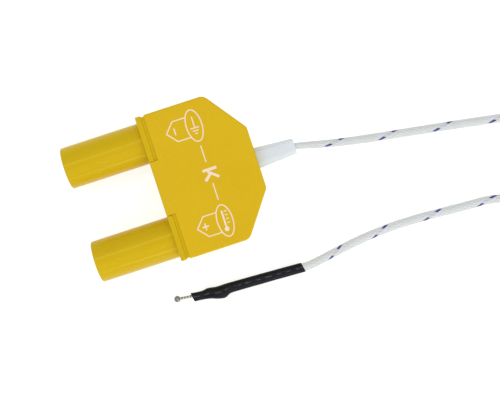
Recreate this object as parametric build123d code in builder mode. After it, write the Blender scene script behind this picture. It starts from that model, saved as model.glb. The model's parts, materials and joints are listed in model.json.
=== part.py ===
from build123d import *
from math import cos, pi, radians, sin, tan
import os

# A bead thermocouple on a two-pin shrouded plug. +X runs from the plug's pins to its lead, +Z is up, and the
# plug lies on its back shell at z = 0, its middle over the origin. Sizes are in millimetres.

os.makedirs("parts", exist_ok=True)

# Plug housing, in plan a rectangle with two chamfers at the lead's end
FRONT_X = -5.6
JACK_SPACING = 19.05
HOUSING_LENGTH = 19.7
HOUSING_WIDTH = 28.7
HOUSING_HEIGHT = 11.0
SIDE_LENGTH = 13.65
REAR_WIDTH = 12.2
SIDE_CORNER_R = 1.8
REAR_CORNER_R = 0.9
TOP_EDGE_R = 0.35
PARTING_CHAMFER = 0.12
WALL = 1.3
RIB_THICKNESS = 1.0
RIB_HALF_WIDTH = 3.4
RIB_GAP = 0.1

# Shrouds: a tube, a flange that lies flush in the housing, a neck behind it and a collar inside
SHROUD_LENGTH = 16.0
SHROUD_R = 4.1
SHROUD_BORE_R = 3.3
SHROUD_BORE_PAST_FRONT = 1.5
MOUTH_EDGE_R = 0.35
FLANGE_THICKNESS = 1.07
FLANGE_INNER_Y = 5.35
FLANGE_CORNER_R = 0.3
FLANGE_EDGE_R = 0.15
NECK_LENGTH = 0.67
NECK_SETBACK = 0.27
SPIGOT_R = 3.6
COLLAR_R = 4.1
COLLAR_THICKNESS = 1.2
RECESS_GAP = 0.03
COLLAR_GAP = 0.05

# Pins, with x counted from the housing's front face
PIN_R = 2.0
PIN_TIP_X = -14.5
PIN_NOSE_LENGTH = 2.0
PIN_NOSE_R = 1.2
GROOVE_R = 1.4
SHANK_R = 2.3
REAR_LAND_X = -2.6
PIN_COLLAR_R = 3.2
PIN_COLLAR_THICKNESS = 1.0
BARREL_R = 2.5
BARREL_END_X = 10.0
WIRE_HOLE_DEPTH = 3.6
SPRING_THICKNESS = 0.17
SPRING_RING_LENGTH = 0.9
SPRING_LEAVES = 8
SPRING_SLOT = 0.35
SPRING_END_GAP = 0.15

# Screws
CLAMP_SCREW_X = 8.3
CLAMP_SCREW_R = 1.25
CLAMP_HEAD_R = 1.7
CLAMP_HEAD_HEIGHT = 1.2
CLAMP_HEAD_EDGE_R = 0.25
BARREL_FLAT_Z = 2.3
SLOT_WIDTH = 0.5
SLOT_DEPTH = 0.6
CROSS_LENGTH = 2.2
CROSS_DEPTH = 0.8
HOUSING_SCREW_X = 9.6
HOUSING_SCREW_R = 1.1
HOUSING_SCREW_HEAD_R = 2.1
HOUSING_SCREW_HEAD_HEIGHT = 1.3
HEAD_RECESS_R = 2.4
HEAD_RECESS_DEPTH = 2.0
BOSS_R = 3.0
SCREW_CLEARANCE_R = 1.25
PILOT_DEPTH = 4.2

# Strain relief
RELIEF_LENGTH = 7.8
RELIEF_BASE_WIDTH = 4.1
RELIEF_END_WIDTH = 3.0
RELIEF_BASE_CHAMFER = 1.0
RELIEF_END_CHAMFER = 0.6
RELIEF_EDGE_R = 0.2
RELIEF_NECK = 3.2
RELIEF_FLANGE = 5.0
RELIEF_FLANGE_THICKNESS = 1.1

# Cable and its conductors
CABLE_D = 1.7
ENTRY_D = 1.2
WIRE_D = 0.5
SLEEVE_D = 0.85
CONDUCTOR_SPACING = 0.88
FERRULE_D = 2.2
FERRULE_LENGTH = 1.6
ENTRY_TAIL = 0.4
FERRULE_EDGE_R = 0.2
LEAD_STRAIGHT = 1.5
BARE_LENGTH = 0.4

# Measuring end, with distances along its black sleeve from the sleeve's mouth to its tip
SHRINK_MOUTH = (16.09, -23.19, 1.27)
SHRINK_TIP = (-6.37, -21.97, 1.27)
SHRINK_R = 1.02
BULGE_R = 1.26
SHRINK_TIP_R = 0.82
SHRINK_TIP_BORE_R = 0.42
BINDING_FROM = 15.4
BINDING_TO = 19.4
BINDING_R = 1.04
BULGE_FROM = 14.6
BULGE_FULL = 16.0
BULGE_END = 20.4
WIRE_BEND = 22.9
TIP_WIRE_D = 0.3
TIP_WIRE_OFFSET = 0.16
BEAD_CENTRE = (-9.4, -21.5, 0.66)
BEAD_R = 0.64

# Put-away coil: layers of a flat spiral on each other, wound inwards and outwards in turn
COIL_CENTRE = (79.6, -21.3)
COIL_LAYERS = 6
COIL_TURNS = 15.57
LAYER_PITCH = 1.3
OUTER_TURN_R = 11.4
INNER_TURN_R = 7.25
COIL_SLACK = 0.4
COIL_IN_ANGLE = 82.5
COIL_OUT_ANGLE = 238.0
TIE_WIDTH = 3.0
TIE_THICKNESS = 0.3

REAR_X = FRONT_X + HOUSING_LENGTH
RELIEF_END_X = REAR_X + RELIEF_LENGTH
MID_Z = HOUSING_HEIGHT / 2
HALF_WIDTH = HOUSING_WIDTH / 2
PIN_Y = JACK_SPACING / 2
RECESS_LENGTH = FLANGE_THICKNESS + NECK_LENGTH
RECESS_INNER_Y = FLANGE_INNER_Y - RECESS_GAP
FRONT_WALL_X = FRONT_X + RECESS_LENGTH + WALL
COLLAR_END_X = FRONT_WALL_X + COLLAR_THICKNESS
BORE_FLOOR_X = FRONT_X + SHROUD_BORE_PAST_FRONT
SIDES = {"com": PIN_Y, "temp": -PIN_Y}
CABLE_R = CABLE_D / 2
SCREW_X = FRONT_X + HOUSING_SCREW_X
RIB_X = COLLAR_END_X + PIN_COLLAR_THICKNESS + RIB_GAP
BARREL_END = FRONT_X + BARREL_END_X
REAR_RIB_X = BARREL_END - RIB_THICKNESS
PIN_TIP = FRONT_X + PIN_TIP_X
GROOVE_FROM = PIN_TIP + PIN_NOSE_LENGTH
GROOVE_TO = FRONT_X + REAR_LAND_X
RELIEF_FLANGE_X = REAR_X - WALL - RELIEF_FLANGE_THICKNESS
ENTRY_X = RELIEF_FLANGE_X - FERRULE_LENGTH - ENTRY_TAIL


def save(builder, name):
    builder.part.label = name
    export_step(builder.part, f"parts/{name}.step")


def outward(y):
    """1 on the common side of the plug and -1 on the temperature side."""
    return 1 if y > 0 else -1


def across(x, y=0.0, z=MID_Z):
    """The plane across the plug at x, with its own x along Y and its own y along Z."""
    return Plane(origin=(x, y, z), x_dir=(0, 1, 0), z_dir=(1, 0, 0))


def disc(x_from, x_to, y, radius, mode=Mode.ADD):
    """A cylinder along a pin's axis, added to or cut from the part being built."""
    with BuildSketch(across(x_from, y)) as face:
        Circle(radius)
    extrude(face.sketch, amount=x_to - x_from, mode=mode)


def column(x, y, z_from, z_to, radius, mode=Mode.ADD):
    """An upright cylinder, added to or cut from the part being built."""
    with BuildSketch(Plane.XY.offset(z_from)) as face:
        with Locations((x, y)):
            Circle(radius)
    extrude(face.sketch, amount=z_to - z_from, mode=mode)


def slab(x_from, x_to, y_from, y_to, z_from, z_to, mode=Mode.ADD):
    """A box between three pairs of limits, added to or cut from the part being built."""
    with BuildSketch(Plane.XY.offset(z_from)) as face:
        with Locations(((x_from + x_to) / 2, (y_from + y_to) / 2)):
            Rectangle(x_to - x_from, abs(y_to - y_from))
    extrude(face.sketch, amount=z_to - z_from, mode=mode)


# Housing


def housing_plan(z, inset=0.0):
    """The housing from above at height z, drawn in by inset. Its front edge stays where it is."""
    half_width = HALF_WIDTH - inset
    half_rear = REAR_WIDTH / 2 - inset / 2
    corner_x = FRONT_X + SIDE_LENGTH - inset / 2
    with BuildSketch(Plane.XY.offset(z)) as plan:
        with BuildLine():
            Polyline(
                (FRONT_X, -half_width),
                (corner_x, -half_width),
                (REAR_X - inset, -half_rear),
                (REAR_X - inset, half_rear),
                (corner_x, half_width),
                (FRONT_X, half_width),
                close=True,
            )
        make_face()
        fillet(plan.vertices().filter_by_position(Axis.X, corner_x - 0.1, corner_x + 0.1), SIDE_CORNER_R)
        fillet(plan.vertices().group_by(Axis.X)[-1], REAR_CORNER_R)
    return plan.sketch


def shell(upper):
    """One half of the housing, from its flat outside to the parting line at mid height."""
    bottom, top = (MID_Z, HOUSING_HEIGHT) if upper else (0, MID_Z)
    inside = (MID_Z, HOUSING_HEIGHT - WALL) if upper else (WALL, MID_Z)
    with BuildPart() as half:
        extrude(housing_plan(bottom), amount=top - bottom)
        flats = half.faces().filter_by(Plane.XY).sort_by(Axis.Z)
        outer_face, parting_face = (flats[-1], flats[0]) if upper else (flats[0], flats[-1])
        parting_edges = parting_face.edges()
        fillet(outer_face.edges(), TOP_EDGE_R)
        chamfer(parting_edges, PARTING_CHAMFER)
        # the cavity behind the front wall, then the screw boss and the pins' ribs in it
        extrude(housing_plan(inside[0], WALL), amount=inside[1] - inside[0], mode=Mode.SUBTRACT)
        slab(FRONT_X, FRONT_WALL_X, -HALF_WIDTH + WALL, HALF_WIDTH - WALL, *inside)
        column(SCREW_X, 0, *inside, BOSS_R)
        rib_starts = [RIB_X] if upper else [RIB_X, REAR_RIB_X]
        for x in rib_starts:
            for y in SIDES.values():
                slab(x, x + RIB_THICKNESS, y - RIB_HALF_WIDTH, y + RIB_HALF_WIDTH, *inside)
        for y in SIDES.values():
            disc(COLLAR_END_X, BARREL_END, y, BARREL_R, mode=Mode.SUBTRACT)
            # open corner for the shroud's flange and neck, and the hole for its spigot
            edge_y, outside_y = outward(y) * RECESS_INNER_Y, outward(y) * (HALF_WIDTH + 1)
            slab(
                FRONT_X - 1,
                FRONT_X + RECESS_LENGTH,
                min(edge_y, outside_y),
                max(edge_y, outside_y),
                -1,
                HOUSING_HEIGHT + 1,
                mode=Mode.SUBTRACT,
            )
            disc(FRONT_X, FRONT_WALL_X, y, SPIGOT_R, mode=Mode.SUBTRACT)
        # rear wall, open for the strain relief's neck
        neck = RELIEF_NECK / 2
        slab(REAR_X - WALL - 1, REAR_X + 1, -neck, neck, MID_Z - neck, MID_Z + neck, mode=Mode.SUBTRACT)
        if upper:
            column(SCREW_X, 0, MID_Z, MID_Z + PILOT_DEPTH, HOUSING_SCREW_R, mode=Mode.SUBTRACT)
        else:
            column(SCREW_X, 0, 0, MID_Z, SCREW_CLEARANCE_R, mode=Mode.SUBTRACT)
            column(SCREW_X, 0, 0, HEAD_RECESS_DEPTH, HEAD_RECESS_R, mode=Mode.SUBTRACT)
    return half


save(shell(upper=True), "upper_shell")
save(shell(upper=False), "lower_shell")

with BuildPart() as housing_screw:
    head_z = HEAD_RECESS_DEPTH - HOUSING_SCREW_HEAD_HEIGHT
    column(SCREW_X, 0, HEAD_RECESS_DEPTH, MID_Z + PILOT_DEPTH - 0.3, HOUSING_SCREW_R)
    column(SCREW_X, 0, head_z, HEAD_RECESS_DEPTH, HOUSING_SCREW_HEAD_R)
    fillet(housing_screw.faces().sort_by(Axis.Z)[0].edges(), 0.4)
    with BuildSketch(Plane.XY.offset(head_z)):
        with Locations((SCREW_X, 0)):
            Rectangle(CROSS_LENGTH, SLOT_WIDTH)
            Rectangle(SLOT_WIDTH, CROSS_LENGTH)
    extrude(amount=CROSS_DEPTH, mode=Mode.SUBTRACT)
save(housing_screw, "housing_screw")

# Shrouds, pins, springs and clamp screws, one set for each jack


def shroud(y):
    """Tube, flange, neck, spigot and collar in one moulding."""
    side = outward(y)
    neck_outer_y = HALF_WIDTH - NECK_SETBACK
    collar_reach = HALF_WIDTH - WALL - COLLAR_GAP - PIN_Y
    with BuildPart() as flange:
        with BuildSketch(across(FRONT_X, side * (FLANGE_INNER_Y + HALF_WIDTH) / 2)):
            RectangleRounded(HALF_WIDTH - FLANGE_INNER_Y, HOUSING_HEIGHT, FLANGE_CORNER_R)
        extrude(amount=FLANGE_THICKNESS)
        fillet(flange.faces().filter_by(Axis.X).edges(), FLANGE_EDGE_R)
    with BuildPart() as tube:
        disc(FRONT_X - SHROUD_LENGTH, FRONT_X, y, SHROUD_R)
        mouth_edges = tube.faces().sort_by(Axis.X)[0].edges()
        fillet(mouth_edges, MOUTH_EDGE_R)
        add(flange.part)
        with BuildSketch(across(FRONT_X + FLANGE_THICKNESS, side * (FLANGE_INNER_Y + neck_outer_y) / 2)):
            Rectangle(neck_outer_y - FLANGE_INNER_Y, HOUSING_HEIGHT - 2 * NECK_SETBACK)
        extrude(amount=NECK_LENGTH)
        disc(FRONT_X + RECESS_LENGTH, FRONT_WALL_X + COLLAR_GAP, y, SPIGOT_R)
        # the collar has a flat towards the housing's side wall
        with BuildSketch(across(FRONT_WALL_X + COLLAR_GAP, y)):
            Circle(COLLAR_R)
            with Locations((side * (collar_reach - COLLAR_R), 0)):
                Rectangle(2 * COLLAR_R, 2 * COLLAR_R, mode=Mode.INTERSECT)
        extrude(amount=COLLAR_THICKNESS - COLLAR_GAP)
        disc(FRONT_X - SHROUD_LENGTH, BORE_FLOOR_X, y, SHROUD_BORE_R, mode=Mode.SUBTRACT)
        disc(BORE_FLOOR_X, COLLAR_END_X, y, SHANK_R, mode=Mode.SUBTRACT)
    return tube


def pin(y):
    """Nose, spring groove, land, collar and wire barrel, turned from one bar."""
    with BuildPart() as body:
        disc(PIN_TIP, GROOVE_FROM, y, PIN_R)
        nose_edges = body.faces().sort_by(Axis.X)[0].edges()
        fillet(nose_edges, PIN_NOSE_R)
        disc(GROOVE_FROM, GROOVE_TO, y, GROOVE_R)
        disc(GROOVE_TO, BORE_FLOOR_X, y, PIN_R)
        disc(BORE_FLOOR_X, COLLAR_END_X, y, SHANK_R)
        disc(COLLAR_END_X, COLLAR_END_X + PIN_COLLAR_THICKNESS, y, PIN_COLLAR_R)
        disc(COLLAR_END_X + PIN_COLLAR_THICKNESS, BARREL_END, y, BARREL_R)
        # hole for the wire, then the flat and the threaded hole for its clamp screw
        disc(BARREL_END - WIRE_HOLE_DEPTH, BARREL_END, y, WIRE_D / 2, mode=Mode.SUBTRACT)
        flat_z = MID_Z + BARREL_FLAT_Z
        column(FRONT_X + CLAMP_SCREW_X, y, flat_z, flat_z + 1, CLAMP_HEAD_R, mode=Mode.SUBTRACT)
        column(FRONT_X + CLAMP_SCREW_X, y, MID_Z + WIRE_D / 2, flat_z, CLAMP_SCREW_R, mode=Mode.SUBTRACT)
    return body


def contact_spring(y):
    """A lantern spring: two rings joined by bowed leaves that reach the pin's own radius."""
    x_from, x_to = GROOVE_FROM + SPRING_END_GAP, GROOVE_TO - SPRING_END_GAP
    bow_from, bow_to = x_from + SPRING_RING_LENGTH, x_to - SPRING_RING_LENGTH
    middle = (x_from + x_to) / 2
    low, high = GROOVE_R, GROOVE_R + SPRING_THICKNESS
    with BuildPart() as spring:
        with BuildSketch(Plane(origin=(0, y, MID_Z), x_dir=(1, 0, 0), z_dir=(0, -1, 0))):
            with BuildLine():
                Line((x_from, low), (bow_from, low))
                ThreePointArc((bow_from, low), (middle, PIN_R - SPRING_THICKNESS), (bow_to, low))
                Polyline((bow_to, low), (x_to, low), (x_to, high), (bow_to, high))
                ThreePointArc((bow_to, high), (middle, PIN_R), (bow_from, high))
                Polyline((bow_from, high), (x_from, high), (x_from, low))
            make_face()
        revolve(axis=Axis((0, y, MID_Z), (1, 0, 0)))
        for leaf in range(SPRING_LEAVES):
            turn = 2 * pi * leaf / SPRING_LEAVES
            outward_normal = (0, -sin(turn), cos(turn))
            with BuildSketch(Plane(origin=(middle, y, MID_Z), x_dir=(1, 0, 0), z_dir=outward_normal)):
                Rectangle(bow_to - bow_from, SPRING_SLOT)
            extrude(amount=PIN_R + 1, mode=Mode.SUBTRACT)
    return spring


def clamp_screw(y):
    """A slotted cheese-head screw that presses on the wire in the pin's barrel."""
    x = FRONT_X + CLAMP_SCREW_X
    flat_z = MID_Z + BARREL_FLAT_Z
    head_top = flat_z + CLAMP_HEAD_HEIGHT
    with BuildPart() as screw:
        column(x, y, MID_Z + WIRE_D / 2, flat_z, CLAMP_SCREW_R)
        column(x, y, flat_z, head_top, CLAMP_HEAD_R)
        fillet(screw.faces().sort_by(Axis.Z)[-1].edges(), CLAMP_HEAD_EDGE_R)
        slab(
            x - CLAMP_HEAD_R - 1,
            x + CLAMP_HEAD_R + 1,
            y - SLOT_WIDTH / 2,
            y + SLOT_WIDTH / 2,
            head_top - SLOT_DEPTH,
            head_top + 1,
            mode=Mode.SUBTRACT,
        )
    return screw


for side_name, side_y in SIDES.items():
    save(shroud(side_y), f"shroud_{side_name}")
    save(pin(side_y), f"pin_{side_name}")
    save(contact_spring(side_y), f"contact_spring_{side_name}")
    save(clamp_screw(side_y), f"clamp_screw_{side_name}")

# Strain relief, and the cable's end inside the plug

with BuildPart() as strain_relief:
    with BuildSketch(across(REAR_X)):
        base = Rectangle(RELIEF_BASE_WIDTH, RELIEF_BASE_WIDTH)
        chamfer(base.vertices(), RELIEF_BASE_CHAMFER)
    with BuildSketch(across(RELIEF_END_X)):
        end = Rectangle(RELIEF_END_WIDTH, RELIEF_END_WIDTH)
        chamfer(end.vertices(), RELIEF_END_CHAMFER)
    loft(ruled=True)
    end_edges = strain_relief.faces().sort_by(Axis.X)[-1].edges()
    fillet(end_edges, RELIEF_EDGE_R)
    with BuildSketch(across(REAR_X - WALL)):
        Rectangle(RELIEF_NECK, RELIEF_NECK)
    extrude(amount=WALL)
    with BuildSketch(across(RELIEF_FLANGE_X)):
        Rectangle(RELIEF_FLANGE, RELIEF_FLANGE)
    extrude(amount=RELIEF_FLANGE_THICKNESS)
    disc(RELIEF_FLANGE_X, RELIEF_END_X, 0, ENTRY_D / 2, mode=Mode.SUBTRACT)
save(strain_relief, "strain_relief")

with BuildPart() as cable_entry:
    disc(ENTRY_X, RELIEF_END_X, 0, ENTRY_D / 2)
save(cable_entry, "cable_entry")

with BuildPart() as anchor_ferrule:
    disc(RELIEF_FLANGE_X - FERRULE_LENGTH, RELIEF_FLANGE_X, 0, FERRULE_D / 2)
    fillet(anchor_ferrule.faces().sort_by(Axis.X)[0].edges(), FERRULE_EDGE_R)
    disc(RELIEF_FLANGE_X - FERRULE_LENGTH, RELIEF_FLANGE_X, 0, ENTRY_D / 2, mode=Mode.SUBTRACT)
save(anchor_ferrule, "anchor_ferrule")

# Wires and cable: round solids along straight runs joined by tangent arcs


def arc_radii(points):
    """The largest radius for each corner of a route: its arc takes 0.45 of the shorter run beside it."""
    places = [Vector(*point) for point in points]
    radii = []
    for before, corner, after in zip(places, places[1:], places[2:]):
        run_in, run_out = corner - before, after - corner
        half_turn = radians(run_in.get_angle(run_out)) / 2
        radii.append(0.45 * min(run_in.length, run_out.length) / tan(half_turn))
    return radii


def swept(points, diameter, without=()):
    """A round solid along a route, less the parts that it meets."""
    with BuildPart() as tube:
        with BuildLine() as path:
            FilletPolyline(*points, radius=arc_radii(points))
        first_run = Vector(*points[1]) - Vector(*points[0])
        with BuildSketch(Plane(origin=points[0], z_dir=first_run)):
            Circle(diameter / 2)
        sweep(path=path.line)
        for other in without:
            add(other.part, mode=Mode.SUBTRACT)
    tube.route_length = sum(edge.length for edge in path.line.edges())
    return tube


def report(name, tube, points, diameter):
    """Prints a route's radii, and its volume beside its section times its length."""
    radii = ", ".join(f"{radius:.1f}" for radius in arc_radii(points))
    expected = pi * diameter**2 / 4 * tube.route_length
    print(f"{name}: length {tube.route_length:.1f}, radii {radii}")
    print(f"{name}: volume {tube.part.volume:.2f}, section times length {expected:.2f}")


for metal, side_y in (("alumel", PIN_Y), ("chromel", -PIN_Y)):
    beside_axis = outward(side_y) * CONDUCTOR_SPACING / 2
    bends = [
        (BARREL_END + LEAD_STRAIGHT, side_y, MID_Z),
        (ENTRY_X - LEAD_STRAIGHT, beside_axis, MID_Z),
        (ENTRY_X, beside_axis, MID_Z),
    ]
    bare_route = [(BARREL_END - WIRE_HOLE_DEPTH + 0.3, side_y, MID_Z)] + bends
    lead = swept(bare_route, WIRE_D)
    save(lead, f"{metal}_lead")
    sleeve_route = [(BARREL_END + BARE_LENGTH, side_y, MID_Z)] + bends
    save(swept(sleeve_route, SLEEVE_D, without=[lead]), f"{metal}_sleeve")

# The put-away coil and its tie

coil_top = 2 * CABLE_R + (COIL_LAYERS - 1) * LAYER_PITCH
coil_outer_r = OUTER_TURN_R + CABLE_R + COIL_SLACK
coil_inner_r = INNER_TURN_R - CABLE_R - COIL_SLACK / 2
coil_x, coil_y = COIL_CENTRE

with BuildPart() as coil_tie:
    with BuildSketch(Plane(origin=(coil_x, coil_y, 0), x_dir=(1, 0, 0), z_dir=(0, -1, 0))):
        with Locations(((coil_inner_r + coil_outer_r) / 2, (coil_top + TIE_THICKNESS) / 2)):
            Rectangle(coil_outer_r - coil_inner_r + 2 * TIE_THICKNESS, coil_top + TIE_THICKNESS)
            Rectangle(coil_outer_r - coil_inner_r, coil_top - TIE_THICKNESS, mode=Mode.SUBTRACT)
    extrude(amount=TIE_WIDTH / 2, both=True)
save(coil_tie, "coil_tie")

with BuildPart() as cable_coil:
    column(coil_x, coil_y, 0, coil_top, coil_outer_r)
    column(coil_x, coil_y, 0, coil_top, coil_inner_r, mode=Mode.SUBTRACT)
    add(coil_tie.part, mode=Mode.SUBTRACT)
save(cable_coil, "cable_coil")

# Measuring end: a black sleeve over the cable's end, a twisted pair and a bead

shrink_axis = (Vector(*SHRINK_TIP) - Vector(*SHRINK_MOUTH)).normalized()
shrink_length = (Vector(*SHRINK_TIP) - Vector(*SHRINK_MOUTH)).length
beside = Vector(shrink_axis.Y, -shrink_axis.X, 0)
along_plane = Plane(origin=SHRINK_MOUTH, x_dir=shrink_axis, z_dir=beside)


def along(distance, sideways=0.0):
    """A point at a distance along the black sleeve's axis from its mouth."""
    place = Vector(*SHRINK_MOUTH) + shrink_axis * distance + beside * sideways
    return (place.X, place.Y, place.Z)


def turned(*outline):
    """A solid turned about the black sleeve's axis, from points of (distance, radius)."""
    with BuildPart() as solid:
        with BuildSketch(along_plane):
            with BuildLine():
                Polyline(*outline, close=True)
            make_face()
        revolve(axis=Axis(SHRINK_MOUTH, (shrink_axis.X, shrink_axis.Y, shrink_axis.Z)))
    return solid


heat_shrink = turned(
    (0, CABLE_R),
    (0, SHRINK_R),
    (BULGE_FROM, SHRINK_R),
    (BULGE_FULL, BULGE_R),
    (BINDING_TO, BULGE_R),
    (BULGE_END, SHRINK_TIP_R),
    (shrink_length, SHRINK_TIP_R),
    (shrink_length, SHRINK_TIP_BORE_R),
    (BULGE_END, SHRINK_TIP_BORE_R),
    (BINDING_TO, BINDING_R),
    (BINDING_FROM, BINDING_R),
    (BINDING_FROM, CABLE_R),
)
save(heat_shrink, "heat_shrink")
save(turned((0, 0), (0, CABLE_R), (BINDING_TO, CABLE_R), (BINDING_TO, 0)), "cable_tail")
tip_binding = turned(
    (BINDING_FROM, CABLE_R),
    (BINDING_FROM, BINDING_R),
    (BINDING_TO, BINDING_R),
    (BINDING_TO, CABLE_R),
)
save(tip_binding, "tip_binding")

with BuildPart() as junction_bead:
    with BuildSketch(Plane(origin=BEAD_CENTRE, x_dir=(1, 0, 0), z_dir=(0, -1, 0))):
        Circle(BEAD_R)
        with Locations((-BEAD_R, 0)):
            Rectangle(2 * BEAD_R, 2 * BEAD_R, mode=Mode.SUBTRACT)
    revolve(axis=Axis(BEAD_CENTRE, (0, 0, 1)))
save(junction_bead, "junction_bead")

for metal, sideways in (("alumel", TIP_WIRE_OFFSET), ("chromel", -TIP_WIRE_OFFSET)):
    bead_end = Vector(*BEAD_CENTRE) + beside * sideways
    wire_route = [
        along(BINDING_TO, sideways),
        along(WIRE_BEND, sideways),
        (bead_end.X, bead_end.Y, bead_end.Z),
    ]
    save(swept(wire_route, TIP_WIRE_D, without=[junction_bead]), f"{metal}_tip_wire")

# The cable's two uncoiled stretches


def on_coil(angle, z):
    """A point on the coil's outermost turn."""
    turn = radians(angle)
    return (coil_x + OUTER_TURN_R * cos(turn), coil_y + OUTER_TURN_R * sin(turn), z)


RUN_OUT = [
    (RELIEF_END_X, 0.0, MID_Z),
    (24.0, -0.52, 5.5),
    (28.0, -1.5, 5.0),
    (34.0, -2.65, 3.1),
    (43.6, -4.12, 0.85),
    (56.0, -6.1, 0.85),
    (68.7, -8.35, 0.85),
    on_coil(COIL_IN_ANGLE, CABLE_R),
]
RUN_BACK = [
    on_coil(COIL_OUT_ANGLE, coil_top - CABLE_R),
    (65.5, -25.93, 5.0),
    (57.5, -21.9, 2.3),
    (49.5, -21.65, 0.85),
    (38.8, -20.9, 0.85),
    (30.0, -21.3, 0.85),
    (22.8, -22.4, 1.0),
    along(-1.6),
    along(0),
]

run_out = swept(RUN_OUT, CABLE_D, without=[strain_relief, cable_entry, cable_coil])
save(run_out, "cable_run_out")
report("cable_run_out", run_out, RUN_OUT, CABLE_D)
run_back = swept(RUN_BACK, CABLE_D, without=[cable_coil])
save(run_back, "cable_run_back")
report("cable_run_back", run_back, RUN_BACK, CABLE_D)

turned_through = 2 * pi * COIL_TURNS
coiled_length = turned_through * (OUTER_TURN_R + INNER_TURN_R) / 2
total = run_out.route_length + coiled_length + run_back.route_length + BINDING_TO
print(f"cable: {coiled_length:.0f} coiled, {total:.0f} in all")
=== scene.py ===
"""The looks of a bead thermocouple: a yellow two-pin plug, a braided lead and a bare measuring tip."""

import json
from math import cos, pi, radians, sin

import bmesh
import bpy
import numpy as np
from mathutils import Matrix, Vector, noise


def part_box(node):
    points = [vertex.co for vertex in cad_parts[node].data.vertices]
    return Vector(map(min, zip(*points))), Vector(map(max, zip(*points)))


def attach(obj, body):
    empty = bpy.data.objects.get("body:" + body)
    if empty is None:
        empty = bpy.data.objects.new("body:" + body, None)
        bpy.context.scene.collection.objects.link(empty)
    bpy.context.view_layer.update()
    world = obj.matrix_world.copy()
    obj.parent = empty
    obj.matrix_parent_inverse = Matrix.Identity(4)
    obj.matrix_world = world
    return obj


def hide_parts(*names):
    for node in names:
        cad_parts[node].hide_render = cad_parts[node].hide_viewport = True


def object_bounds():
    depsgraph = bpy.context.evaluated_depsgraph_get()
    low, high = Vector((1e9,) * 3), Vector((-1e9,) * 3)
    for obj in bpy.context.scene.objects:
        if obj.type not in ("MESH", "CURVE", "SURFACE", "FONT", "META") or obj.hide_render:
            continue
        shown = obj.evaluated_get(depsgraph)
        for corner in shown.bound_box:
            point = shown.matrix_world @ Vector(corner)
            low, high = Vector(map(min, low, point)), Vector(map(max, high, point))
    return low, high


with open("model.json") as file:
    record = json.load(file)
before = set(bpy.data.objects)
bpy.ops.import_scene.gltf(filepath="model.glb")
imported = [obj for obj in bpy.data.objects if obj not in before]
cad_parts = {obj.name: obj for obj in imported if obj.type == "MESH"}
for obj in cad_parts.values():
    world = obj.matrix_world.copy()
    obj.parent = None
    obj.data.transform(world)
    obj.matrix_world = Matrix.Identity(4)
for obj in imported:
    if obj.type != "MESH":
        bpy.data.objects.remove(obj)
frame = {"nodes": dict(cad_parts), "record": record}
cad_low, cad_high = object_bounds()

MM = 0.001
TOP_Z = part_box("upper_shell")[1].z
FRONT_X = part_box("upper_shell")[0].x

# Camera: straight above the plug, turned so that the shrouds point to the lower left
CAMERA_AT = (10.4 * MM, -7.3 * MM, 241.5 * MM)
CAMERA_TURN = radians(-18.1)
CAMERA_LENS = 87.4

# Light and floor. A lamp is its place, what it points at, its width, its height and its power.
LIGHTS = {
    "front_softbox": ((0.04, -0.24, 0.44), (0.0, 0.0, 0.0), 0.5, 0.3, 0.4),
    "back_strip": ((-0.05, 0.124, 0.432), (-0.01, 0.0, 0.0), 0.5, 0.05, 0.5),
    "front_strip": ((0.08, -0.406, 0.194), (0.0, 0.0, 0.0), 0.32, 0.02, 0.45),
}
WORLD_LIGHT = (0.96, 0.98, 1.0)
WORLD_STRENGTH = 0.62
FLOOR_SIZE = 3.0
FLOOR_GAP = 0.02 * MM

# Cable: pinched where it leaves the strain relief, and cut back to its bare pair inside the black sleeve
CABLE_D = 1.7 * MM
CABLE_R = CABLE_D / 2
ENTRY_R = 0.62 * MM
ENTRY_SWELL = 8 * MM
CUT_BACK_SHARE = 0.45
CUT_BACK_FROM = 1 * MM
CUT_BACK_OVER = 3 * MM
LUMPS_PER_METRE = 300
LUMP_SHARE = 0.03
# its mesh: close rings with the braid in relief on the free ends, and sparse plain rings in the coil
CABLE_RESOLUTION = 48
CABLE_SIDES = 40
FREE_BEFORE_COIL = 61 * MM
FREE_AFTER_COIL = 82 * MM
FINE_RING = 0.14 * MM
COARSE_RING = 0.8 * MM

# Its braid: two families of yarns, one yarn blue
YARNS = 8
TRACER_YARN = 3.0
BRAID_RELIEF = 0.03 * MM
# a turn of the braid in millimetres: on the way out, close to the black sleeve, and further back from it
PITCH_OUT = 11.2
PITCH_AT_SLEEVE = 9.7
PITCH_BACK = 11.1
# the distances from the sleeve between which the last two change over
PITCH_CHANGES = (16.0, 20.0)
# how far the braid is turned on the way out and on the way back, in turns
PHASE_OUT = 0.012
PHASE_BACK = 0.71

# Faint dashes on the black sleeve: their spacing in millimetres, and the share of a turn they lie in
DASH_STEP = 2.1
DASH_LINE = (0.225, 0.262)

# The cable's route, in millimetres, the same points as the CAD model's
RELIEF_END = (21.9, 0.0, 5.5)
RUN_OUT = [
    RELIEF_END,
    (24.0, -0.52, 5.5),
    (28.0, -1.5, 5.0),
    (34.0, -2.65, 3.1),
    (43.6, -4.12, 0.85),
    (56.0, -6.1, 0.85),
    (68.7, -8.35, 0.85),
]
RUN_BACK = [
    (65.5, -25.93, 5.0),
    (57.5, -21.9, 2.3),
    (49.5, -21.65, 0.85),
    (38.8, -20.9, 0.85),
    (30.0, -21.3, 0.85),
    (22.8, -22.4, 1.0),
]
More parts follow.
